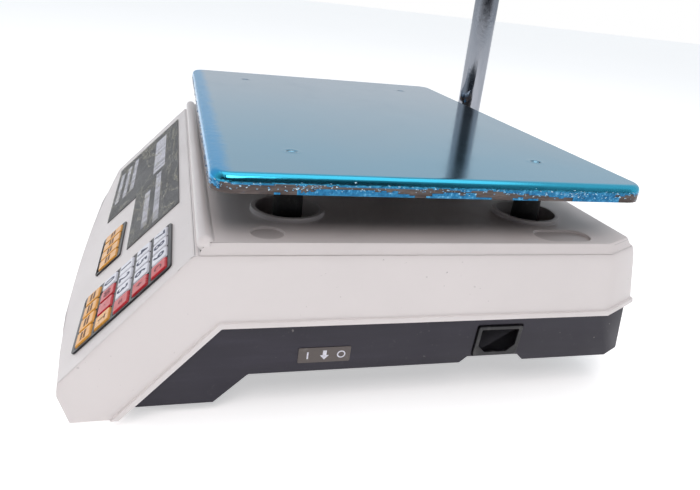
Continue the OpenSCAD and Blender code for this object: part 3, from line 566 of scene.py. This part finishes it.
ROUND_REACH = 7.0 * MM
ROUND_DEPTH = 1.2 * MM
cover_low, cover_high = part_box("upper_shell")
SIDE_ZONE = cover_high.x - 10 * MM
CORNER_ZONE = cover_high.x - 22 * MM
BACK_ZONE = cover_high.y - 38 * MM
REAR_ZONE = cover_high.y - 14 * MM
NOSE_ZONE = cover_low.y + 25 * MM


def round_upper_edges(bm):
    """Rolls the cover's outer walls over into the ledge and the sloped panel."""
    overlay = panel_box("operator_overlay")
    panel_level = overlay["out"][0]
    ledge = max(v.co.z for v in bm.verts if abs(v.co.x) > cover_high.x - 6 * MM)
    steps = [0.04, 0.12, 0.25, 0.42, 0.65, 1.0]
    for share in steps:
        depth = share * ROUND_REACH
        ledge_cut = (Z_AXIS * (ledge - depth), Z_AXIS)
        panel_cut = (PANEL_OUT * (panel_level - depth), PANEL_OUT)
        for place, normal in (ledge_cut, panel_cut):
            everything = bm.verts[:] + bm.edges[:] + bm.faces[:]
            bmesh.ops.bisect_plane(bm, geom=everything, dist=0.001 * MM, plane_co=place, plane_no=normal)
    bm.normal_update()
    moves = []
    for v in bm.verts:
        depth = min(ledge - v.co.z, panel_level - v.co.dot(PANEL_OUT))
        if not -0.01 * MM <= depth < ROUND_REACH or not outer_place(v.co):
            continue
        walls = []
        for f in v.link_faces:
            known = any(f.normal.dot(w) > 0.99 for w in walls)
            if abs(f.normal.z) < 0.3 and faces_out(f.normal, v.co) and not known:
                walls.append(f.normal.copy())
        if not walls:
            continue
        share = 1 - max(depth, 0) / ROUND_REACH
        inward = ROUND_DEPTH * (1 - math.sqrt(max(0.0, 1 - share * share)))
        moves.append((v, inward, walls[:2]))
    for v, inward, walls in moves:
        flat = [Vector((w.x, w.y, 0)).normalized() for w in walls]
        if len(flat) == 1:
            v.co -= flat[0] * inward
        else:
            both = flat[0] + flat[1]
            v.co -= both * (inward / (1 + flat[0].dot(flat[1])))


def outer_place(p):
    """True near the cover's outer walls, away from the deck."""
    side = abs(p.x) > SIDE_ZONE
    corner = abs(p.x) > CORNER_ZONE and p.y > BACK_ZONE
    return side or corner or p.y > REAR_ZONE or p.y < NOSE_ZONE


def faces_out(normal, p):
    sideways = normal.x * (1 if p.x > 0 else -1)
    return sideways > 0.5 or (normal.y > 0.5 and p.y > BACK_ZONE) or (normal.y < -0.5 and p.y < NOSE_ZONE)


def panel_box(node):
    """Lowest and highest reach of a node along the panel's own axes: across, up its slope, and out of it."""
    points = [v.co for v in frame["nodes"][node].data.vertices]
    axes = {"across": X_AXIS, "up": PANEL_UP, "out": PANEL_OUT}
    return {name: (min(p.dot(a) for p in points), max(p.dot(a) for p in points)) for name, a in axes.items()}


def panel_point(across, up, out):
    return X_AXIS * across + PANEL_UP * up + PANEL_OUT * out


def dress_casing():
    restore("upper_shell", "cover", 0.45, 2, 32, round_upper_edges)
    restore("lower_base", "tray", 0.7, 2, 32)
    restore("keypad_bezel", "keypad_frame", 0.25)
    restore("memory_bezel", "memory_frame", 0.25)
    restore("switch_label", "switch_plate", 0.12)
    restore("battery_door", "battery_hatch", 0.35)
    restore("pole_socket", "pole_sleeve", 0.5)
    for node in ("rocker", "rocker_body"):
        restore(node, node.replace("rocker", "switch_rocker"), 0.3)
    restore("inlet_body", "inlet_shell", 0.25)
    for node in ("foot_front_left", "foot_front_right", "foot_rear_left", "foot_rear_right"):
        restore(node, node.replace("foot", "levelling_foot"), 0.3)


# ---------------------------------------------------------------- keys and printed marks

LEGENDS = {
    "key_7": "7", "key_8": "8", "key_9": "9", "key_4": "4", "key_5": "5", "key_6": "6",
    "key_1": "1", "key_2": "2", "key_3": "3", "key_0": "0", "key_double_zero": "00", "key_point": ".",
    "key_clear": "C", "key_add": "+", "key_total": "=", "key_tare": "T",
}
DIGIT_HEIGHT = 10.5 * MM
SIGN_HEIGHT = 6.6 * MM


def text_mesh(words, height):
    """Flat letters centred on the origin in X and Y."""
    curve = bpy.data.curves.new("words", "FONT")
    curve.body = words
    curve.size = height
    curve.resolution_u = 6
    curve.offset = 0.018 * height
    holder = bpy.data.objects.new("words", curve)
    mesh = bpy.data.meshes.new_from_object(holder)
    bpy.data.objects.remove(holder)
    bpy.data.curves.remove(curve)
    xs = [v.co.x for v in mesh.vertices]
    ys = [v.co.y for v in mesh.vertices]
    mesh.transform(Matrix.Translation((-(min(xs) + max(xs)) / 2, -(min(ys) + max(ys)) / 2, 0)))
    return mesh


def bars_mesh(rows):
    """Small bars: each row is (left, right, bottom, top)."""
    bm = bmesh.new()
    for left, right, bottom, top in rows:
        corners = [(left, bottom), (right, bottom), (right, top), (left, top)]
        bm.faces.new([bm.verts.new((x, y, 0)) for x, y in corners])
    return to_mesh(bm, "bars")


def thicken(mesh, depth):
    """Gives flat marks a printed layer's thickness."""
    bm = bmesh.new()
    bm.from_mesh(mesh)
    bmesh.ops.remove_doubles(bm, verts=bm.verts, dist=0.002 * MM)
    sides = bmesh.ops.extrude_face_region(bm, geom=bm.faces[:])
    lifted = [e for e in sides["geom"] if isinstance(e, bmesh.types.BMVert)]
    bmesh.ops.translate(bm, verts=lifted, vec=(0, 0, depth))
    bmesh.ops.recalc_face_normals(bm, faces=bm.faces)
    bm.to_mesh(mesh)
    bm.free()
    return mesh


def lay_on_panel(mesh, across, up, out):
    axes = Matrix((X_AXIS, PANEL_UP, PANEL_OUT)).transposed().to_4x4()
    mesh.transform(Matrix.Translation(panel_point(across, up, out)) @ axes)
    return mesh


CAPTION_LINES = 2
CAPTION_SHARE = 0.62


def word_bars(width, height, seed):
    """A function key's caption as rows of small plain blocks."""
    rng = random.Random(seed)
    rows = []
    pitch = height / CAPTION_LINES
    for line in range(CAPTION_LINES):
        x = -width / 2
        low = height / 2 - (line + 1) * pitch + 0.18 * pitch
        while x < width / 2 - 0.5 * MM:
            run = rng.uniform(0.6, 1.5) * MM
            rows.append((x, min(x + run, width / 2), low, low + 0.62 * pitch))
            x += run + 0.42 * MM
    return bars_mesh(rows)


MARK_LIFT = 0.03 * MM
MARK_DEPTH = 0.04 * MM


def dress_keys():
    keys = [n for n in frame["nodes"] if n.startswith("key_") and n != "key_board"]
    for number, node in enumerate(sorted(keys)):
        restore(node, "cap_" + node, 0.3)
        reach = panel_box(node)
        kind = SLOT_OF[node]
        across = sum(reach["across"]) / 2
        up = sum(reach["up"]) / 2
        wide = reach["across"][1] - reach["across"][0]
        if node in LEGENDS:
            height = DIGIT_HEIGHT if kind == "key_white" else SIGN_HEIGHT
            marks = text_mesh(LEGENDS[node], height)
        else:
            height = 4.6 * MM if node.startswith("key_m") else 4.2 * MM
            marks = word_bars(CAPTION_SHARE * wide, height, number)
        paint = LEGEND_INK[kind]
        lay_on_panel(thicken(marks, MARK_DEPTH), across, up, reach["out"][1] + MARK_LIFT)
        link("legend_" + node, marks, paint, BODY_OF[node])


def dress_overlay():
    """The printed sheet, its generic white bars and the clear film that still lies on it."""
    carry_over("operator_overlay")
    reach = panel_box("operator_overlay")
    left, right = reach["across"]
    low, high = reach["up"]
    top = reach["out"][1]
    rng = random.Random(31)
    stripes = [
        # left, right, distance below the sheet's top edge, height, shortest and longest block (mm)
        (left + 20 * MM, left + 118 * MM, 14 * MM, 12.0 * MM, 2.2, 4.6),
        (left + 128 * MM, right - 6 * MM, 17 * MM, 5.0 * MM, 1.0, 2.2),
        (left + 152 * MM, right - 14 * MM, 27 * MM, 5.0 * MM, 1.0, 2.4),
        (left + 16 * MM, left + 104 * MM, 48 * MM, 4.4 * MM, 1.0, 2.8),
        (left + 22 * MM, left + 104 * MM, 56 * MM, 4.0 * MM, 1.0, 2.8),
        (left + 26 * MM, left + 104 * MM, 64 * MM, 4.0 * MM, 1.0, 2.8),
    ]
    rows = []
    for x0, x1, down, height, short, long in stripes:
        x = x0
        while x < x1:
            run = rng.uniform(short, long) * MM
            rows.append((x, min(x + run, x1), high - down - height, high - down))
            x += run + rng.choice((0.5, 0.5, 0.6, 1.8)) * MM
    marks = lay_on_panel(thicken(bars_mesh(rows), MARK_DEPTH), 0, 0, top + MARK_LIFT)
    link("overlay_print", marks, WHITE_INK, "casing")

    bm = bmesh.new()
    step = 2.5 * MM
    columns = int((right - left) / step)
    lines = int((high - low) / step)
    source = [v.co for v in frame["nodes"]["operator_overlay"].data.vertices]
    notch_up = sorted({round(p.dot(PANEL_UP), 5) for p in source})[1]
    notch_across = sorted({round(p.x, 5) for p in source})[1]
    grid = {}
    for i in range(columns + 1):
        for j in range(lines + 1):
            x = left + (right - left) * i / columns
            u = low + (high - low) * j / lines
            if x > notch_across and u < notch_up:
                continue
            fold = noise.fractal(Vector((x * 16, u * 55, 3.1)), 0.8, 2.1, 4)
            lift = 0.35 * MM + 0.9 * MM * abs(fold)
            grid[i, j] = bm.verts.new(panel_point(x, u, top + lift))
    for i, j in grid:
        ring = [(i, j), (i + 1, j), (i + 1, j + 1), (i, j + 1)]
        if all(c in grid for c in ring):
            bm.faces.new([grid[c] for c in ring])
    link("panel_wrap", to_mesh(bm, "panel_wrap"), WRAP, "casing", 80)


BASE_DRAFT = 0.1
SWITCH_BAR = [(-9.4, -2.2), (-8.6, -2.2), (-8.6, 2.2), (-9.4, 2.2)]
SWITCH_ARROW = [(-1.0, 2.8), (-1.0, -0.2), (-2.4, -0.2), (0, -3.0), (2.4, -0.2), (1.0, -0.2), (1.0, 2.8)]
RING_X = 9
RING_OUTER = 2.3
RING_INNER = 1.6
RING_STEPS = 20


def dress_label():
    """Marks on the switch plate: a bar, a downward arrow and a ring."""
    points = [v.co for v in frame["nodes"]["switch_label"].data.vertices]
    lean = math.atan(BASE_DRAFT)
    out = Vector((math.cos(lean), 0, -math.sin(lean)))
    up = Vector((math.sin(lean), 0, math.cos(lean)))
    face = max(p.dot(out) for p in points)
    middle = sum((p for p in points), Vector()) / len(points)
    centre = Y_AXIS * middle.y + up * middle.dot(up) + out * (face + MARK_LIFT)
    bm = bmesh.new()

    def flat(corners):
        bm.faces.new([bm.verts.new((x * MM, y * MM, 0)) for x, y in corners])

    flat(SWITCH_BAR)
    flat(SWITCH_ARROW)
    for k in range(RING_STEPS):
        a, b = (2 * math.pi * i / RING_STEPS for i in (k, k + 1))
        ends = ((RING_OUTER, a), (RING_OUTER, b), (RING_INNER, b), (RING_INNER, a))
        flat([(RING_X + r * math.cos(t), r * math.sin(t)) for r, t in ends])
    marks = thicken(to_mesh(bm, "switch_marks"), MARK_DEPTH)
    marks.transform(Matrix.Translation(centre) @ Matrix((Y_AXIS, up, out)).transposed().to_4x4())
    link("switch_marks", marks, WHITE_INK, "casing")


# ---------------------------------------------------------------- pan and its film

FILM_LIFT = 0.12 * MM
PAN_EDGE = 3.5 * MM
PAN_CORNER = 11 * MM
CORNER_STEPS = 10


def pan_rim(core_x, core_y, dense):
    """Points round the pan's core rectangle, in order, as (point, outward direction) pairs."""
    spots = []

    def line(a, b, u, marks):
        for m in marks:
            spots.append((a.lerp(b, m), u))

    def fan(p, start):
        for k in range(1, CORNER_STEPS):
            angle = start + math.pi / 2 * k / CORNER_STEPS
            spots.append((p, Vector((math.cos(angle), math.sin(angle), 0))))

    xs, ys = dense
    across = [(x + core_x) / (2 * core_x) for x in xs]
    along = [(y + core_y) / (2 * core_y) for y in ys]
    c = [Vector((sx * core_x, sy * core_y, 0)) for sx, sy in CORNER_SIGNS]
    line(c[0], c[1], -Y_AXIS, across)
    fan(c[1], -math.pi / 2)
    line(c[1], c[2], X_AXIS, along)
    fan(c[2], 0)
    line(c[2], c[3], Y_AXIS, [1 - m for m in reversed(across)])
    fan(c[3], math.pi / 2)
    line(c[3], c[0], -X_AXIS, [1 - m for m in reversed(along)])
    fan(c[0], math.pi)
    return spots


def grid_marks(half, special, coarse=3.0, fine=0.9, reach=6.5):
    """Positions from -half to half, closer together round the special places (all mm)."""
    marks = [-half]
    while marks[-1] < half - 0.01:
        here = marks[-1]
        close = any(abs(here + fine - s) < reach for s in special)
        marks.append(min(here + (fine if close else coarse), half))
    if marks[-1] - marks[-2] < 0.3:
        del marks[-2]
    return marks


DIMPLE_DEPTH = 0.9 * MM
DIMPLE_RING = 0.16 * MM
DIMPLE_REACH = 6.5


def dimple(x, y, places):
    """How far the film sinks at a dimple: a cup with a low raised ring."""
    sink = 0.0
    for px, py in places:
        d = math.hypot(x - px, y - py) / MM
        if d < DIMPLE_REACH:
            cup = DIMPLE_DEPTH / (1 + math.exp((d - 2.4) * 4.5))
            ring = DIMPLE_RING * math.exp(-((d - 4.0) / 0.8) ** 2)
            sink += cup - ring
    return sink


def film_surface(spot, reach, middle, top, radius, drop_from):
    """Point of the wrapped sheet at distance reach out from the core rectangle."""
    q, u = spot
    over = reach - drop_from
    if over <= 0:
        return middle + q + u * reach + Z_AXIS * top
    quarter = radius * math.pi / 2
    if over < quarter:
        turn = over / radius
        out = drop_from + radius * math.sin(turn)
        level = top - radius * (1 - math.cos(turn))
        return middle + q + u * out + Z_AXIS * level
    return middle + q + u * (drop_from + radius) + Z_AXIS * (top - radius - (over - quarter))


def dress_pan():
    """Bare pan, the blue film over its top and edge, and the torn scraps along its rim."""
    restore("pan", "weighing_pan", 0.25, 2, 40)
    half_x = (pan_high.x - pan_low.x) / 2
    half_y = (pan_high.y - pan_low.y) / 2
    mid = (pan_low + pan_high) / 2
    middle = Vector((mid.x, mid.y, 0))
    drop_from = PAN_CORNER - PAN_EDGE
    radius = PAN_EDGE + FILM_LIFT
    core_x, core_y = half_x - PAN_CORNER, half_y - PAN_CORNER
    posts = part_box("pan_posts")
    post_r = 10 * MM
    post_dx = (posts[1].x - posts[0].x) / 2 - post_r
    post_dy = (posts[1].y - posts[0].y) / 2 - post_r
    places = [(sx * post_dx, sy * post_dy) for sx in (-1, 1) for sy in (-1, 1)]
    top = pan_high.z + FILM_LIFT

    xs = [m * MM for m in grid_marks(core_x / MM, (-post_dx / MM, post_dx / MM))]
    ys = [m * MM for m in grid_marks(core_y / MM, (-post_dy / MM, post_dy / MM))]
    bm = bmesh.new()
    grid = [[bm.verts.new((mid.x + x, mid.y + y, top - dimple(x, y, places))) for y in ys] for x in xs]
    for i in range(len(xs) - 1):
        for j in range(len(ys) - 1):
            bm.faces.new((grid[i][j], grid[i + 1][j], grid[i + 1][j + 1], grid[i][j + 1]))
    spots = pan_rim(core_x, core_y, (xs, ys))
    last_x, last_y = len(xs) - 1, len(ys) - 1
    edge = [grid[i][0] for i in range(last_x + 1)] + [grid[last_x][0]] * (CORNER_STEPS - 1)
    edge += [grid[last_x][j] for j in range(last_y + 1)] + [grid[last_x][last_y]] * (CORNER_STEPS - 1)
    edge += [grid[i][last_y] for i in range(last_x, -1, -1)] + [grid[0][last_y]] * (CORNER_STEPS - 1)
    edge += [grid[0][j] for j in range(last_y, -1, -1)] + [grid[0][0]] * (CORNER_STEPS - 1)
    quarter = radius * math.pi / 2
    levels = [drop_from * s for s in (0.35, 0.7, 1.0)]
    levels += [drop_from + quarter * s for s in (0.12, 0.25, 0.4, 0.55, 0.7, 0.85, 1.0)]
    rim_depth = pan_high.z - pan_low.z - PAN_EDGE
    levels += [drop_from + quarter + rim_depth * s for s in (0.1, 0.22, 0.35, 0.48, 0.6, 0.72, 0.84, 0.96)]
    rings = [edge]
    for reach in levels:
        ring = []
        for k, spot in enumerate(spots):
            p = film_surface(spot, reach, middle, top, radius, drop_from)
            crumple = noise.noise(p * 260) * 0.10 * MM if reach > drop_from + 0.4 * quarter else 0
            ring.append(bm.verts.new(p + spot[1] * crumple))
        rings.append(ring)
    count = len(spots)
    for r in range(len(levels)):
        reach = levels[r]
        for k in range(count):
            n = (k + 1) % count
            if reach > kept_reach(spots[k], drop_from, quarter, rim_depth):
                continue
            around = [rings[r][k], rings[r][n], rings[r + 1][n], rings[r + 1][k]]
            if around[0] is around[1]:
                around.pop(0)
            bm.faces.new(around)
    loose = [v for v in bm.verts if not v.link_faces]
    bmesh.ops.delete(bm, geom=loose, context="VERTS")
    bmesh.ops.recalc_face_normals(bm, faces=bm.faces)
    film = link("pan_wrap", to_mesh(bm, "pan_wrap"), PAINTS["blue_film"], "pan", 60)
    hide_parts("pan_film")
    add_rim_patches(spots, middle, top, radius, drop_from, quarter, rim_depth)
    add_scraps(spots, middle, top, radius, drop_from, quarter, rim_depth)


def kept_reach(spot, drop_from, quarter, rim_depth):
    """How far the main sheet still reaches over the edge at this spot."""
    q, u = spot
    p = (q + u * 0.01) / MM
    wave = noise.noise(Vector((p.x * 0.09, p.y * 0.09, 1.7)))
    fray = noise.noise(Vector((p.x * 0.6, p.y * 0.6, 5.2)))
    share = 0.12 + 0.22 * wave + 0.16 * fray
    if u.y < -0.7:
        share += 0.55
    if u.x > 0.7:
        share += 0.10 + 0.45 * max(0.0, min(1.0, (p.y - 10) / 50)) * (1 if p.y < 96 else 0)
    return drop_from + quarter + rim_depth * max(share, -0.1)


# Stretch of the near rim that keeps most of its film, in mm from the pan's middle
PATCH_FRONT = -78
PATCH_BACK = 98


def add_rim_patches(spots, middle, top, radius, drop_from, quarter, rim_depth):
    """Film that still clings to the lower half of the rim, in patches."""
    bm = bmesh.new()
    levels = [0.42, 0.55, 0.68, 0.8, 0.9, 0.98]
    rings = []
    for share in levels:
        ring = []
        for spot in spots:
            p = film_surface(spot, drop_from + quarter + rim_depth * share, middle, top, radius, drop_from)
            ring.append(bm.verts.new(p + spot[1] * (0.06 * MM + 0.14 * MM * noise.noise(p * 240))))
        rings.append(ring)
    for k, spot in enumerate(spots):
        n = (k + 1) % len(spots)
        p = (spot[0] + spot[1] * 0.01) / MM
        broad = noise.noise(Vector((p.x * 0.055, p.y * 0.055, 9.3)))
        fine = noise.noise(Vector((p.x, p.y, 2.2)) * 0.4)
        kept = spot[1].x > 0.7 and PATCH_FRONT < p.y < PATCH_BACK
        cover = broad + 0.35 * fine + (0.30 if kept else -0.35)
        for r in range(len(levels) - 1):
            ragged = 0.16 * noise.noise(Vector((p.x, p.y, 3 * r)) * 0.9)
            if cover + ragged > 0.04 + 0.34 * (1 - r / (len(levels) - 1)):
                bm.faces.new((rings[r][k], rings[r][n], rings[r + 1][n], rings[r + 1][k]))
    bmesh.ops.delete(bm, geom=[v for v in bm.verts if not v.link_faces], context="VERTS")
    bmesh.ops.recalc_face_normals(bm, faces=bm.faces)
    link("rim_patches", to_mesh(bm, "rim_patches"), PAINTS["blue_film"], "pan", 60)


def add_scraps(spots, middle, top, radius, drop_from, quarter, rim_depth):
    """Small curled tears along the rim and a ragged fringe at the front."""
    rng = random.Random(77)
    bm = bmesh.new()
    for k, spot in enumerate(spots):
        q, u = spot
        side, front = u.x > 0.7, u.y < -0.7
        chance = 0.85 if side else 0.6 if front else 0.3
        for _ in range(3 if side or front else 1):
            if rng.random() > chance:
                continue
            share = rng.choice((rng.gauss(0.2, 0.14), rng.gauss(0.48, 0.14)))
            share = min(max(share, -0.25), 0.95)
            reach = drop_from + quarter + rim_depth * share
            p = film_surface(spot, reach, middle, top, radius, drop_from) + u * 0.12 * MM
            along = Vector((-u.y, u.x, 0))
            down = Z_AXIS * -1
            size = rng.uniform(0.25, 1.0) * MM
            if front:
                size *= 1.5
            lean = rng.uniform(-0.9, 0.9)
            run = (along * math.cos(lean) + down * math.sin(lean)).normalized()
            cross = (down * math.cos(lean) - along * math.sin(lean)).normalized()
            shift = along * rng.uniform(-1.2, 1.2) * MM
            curl = rng.uniform(0.1, 0.45) * MM
            strip = []
            width = size * rng.uniform(0.2, 0.45)
            for t in (0, 0.5, 1):
                taper = 1 - 0.55 * t
                lift = u * curl * t * t
                centre = p + shift + run * size * (t - 0.5) + lift
                half = cross * width * taper
                strip.append((bm.verts.new(centre - half), bm.verts.new(centre + half)))
            for a, b in zip(strip, strip[1:]):
                bm.faces.new((a[0], b[0], b[1], a[1]))
    link("film_scraps", to_mesh(bm, "film_scraps"), SCRAP, "pan", 60)


# ---------------------------------------------------------------- pole and display head

def seven_segments(width, height, stroke):
    """Outline bars of one unlit numeral, centred."""
    w, h, s = width / 2, height / 2, stroke
    gap = 0.25 * stroke
    flat = [(-w + s, w - s, y - s / 2, y + s / 2) for y in (-h + s / 2, 0, h - s / 2)]
    tall = [
        (x, x + s, y0 + gap, y1 - gap)
        for x in (-w, w - s)
        for y0, y1 in ((-h + s, -s / 2), (s / 2, h - s))
    ]
    return flat + tall


NUMERAL_ROWS = 3
NUMERALS = 6
NUMERAL_SIZE = (9 * MM, 16 * MM, 1.5 * MM)


def dress_head():
    restore("head_front_shell", "display_front", 0.8)
    restore("head_rear_shell", "display_back", 0.8)
    restore("head_bracket", "display_fork", 0.4)
    restore("pole_tube", "pole", 0.2)
    carry_over("head_windows")
    low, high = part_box("head_windows")
    middle_x = (low.x + high.x) / 2
    rows = []
    for line in range(NUMERAL_ROWS):
        for place in range(NUMERALS):
            x = low.x + (high.x - low.x) * (place + 0.75) / (NUMERALS + 0.5)
            z = low.z + (high.z - low.z) * (line + 0.5) / NUMERAL_ROWS
            for x0, x1, z0, z1 in seven_segments(*NUMERAL_SIZE):
                rows.append((x + x0 - middle_x, x + x1 - middle_x, z + z0, z + z1))
    for name, y, facing in (("digits_front", low.y, -1), ("digits_back", high.y, 1)):
        marks = thicken(bars_mesh(rows), MARK_DEPTH)
        turn = Matrix(((facing * -1, 0, 0), (0, 0, facing), (0, 1, 0))).to_4x4()
        centre = Vector((middle_x, y + facing * MARK_LIFT, 0))
        marks.transform(Matrix.Translation(centre) @ turn)
        link(name, marks, GHOST_INK, "head")


# ---------------------------------------------------------------- the scene

def dress_works():
    """The parts inside and below keep their CAD shape and take their finish."""
    shown = [n for n, o in frame["nodes"].items() if not o.hide_render]
    for node in shown:
        carry_over(node)


FLOOR_HALF = 12.0
FLOOR_Z = -0.0002


def add_floor():
    bm = bmesh.new()
    bm.faces.new([bm.verts.new((x * FLOOR_HALF, y * FLOOR_HALF, FLOOR_Z)) for x, y in CORNER_SIGNS])
    mesh = to_mesh(bm, "floor")
    p = Paint("floor", 0.9, **{"Emission_Color": (1, 1, 1, 1), "Emission_Strength": 0.50})
    p.set("Base Color", p.ramp(p.noise(1.5, 3), [(0.3, (0.90, 0.90, 0.90)), (0.7, (0.93, 0.93, 0.93))]))
    mesh.materials.append(p.material)
    floor = bpy.data.objects.new("floor", mesh)
    bpy.context.scene.collection.objects.link(floor)


add_camera()
add_world(Vector((0.90, -0.30, 0.25)))
add_light("overhead", (0.0, 0.1, 1.7), (0, 0, 0.1), (1.8, 1.8), 7.5, (1, 0.95, 0.94))
add_light("near_soft", (1.3, -0.35, 1.75), (0, 0, 0.08), (1.0, 1.0), 15, (1, 0.93, 0.92))
add_floor()
dress_casing()
dress_keys()
dress_overlay()
dress_label()
dress_pan()
dress_head()
dress_works()
bpy.context.scene.view_settings.view_transform = "Standard"
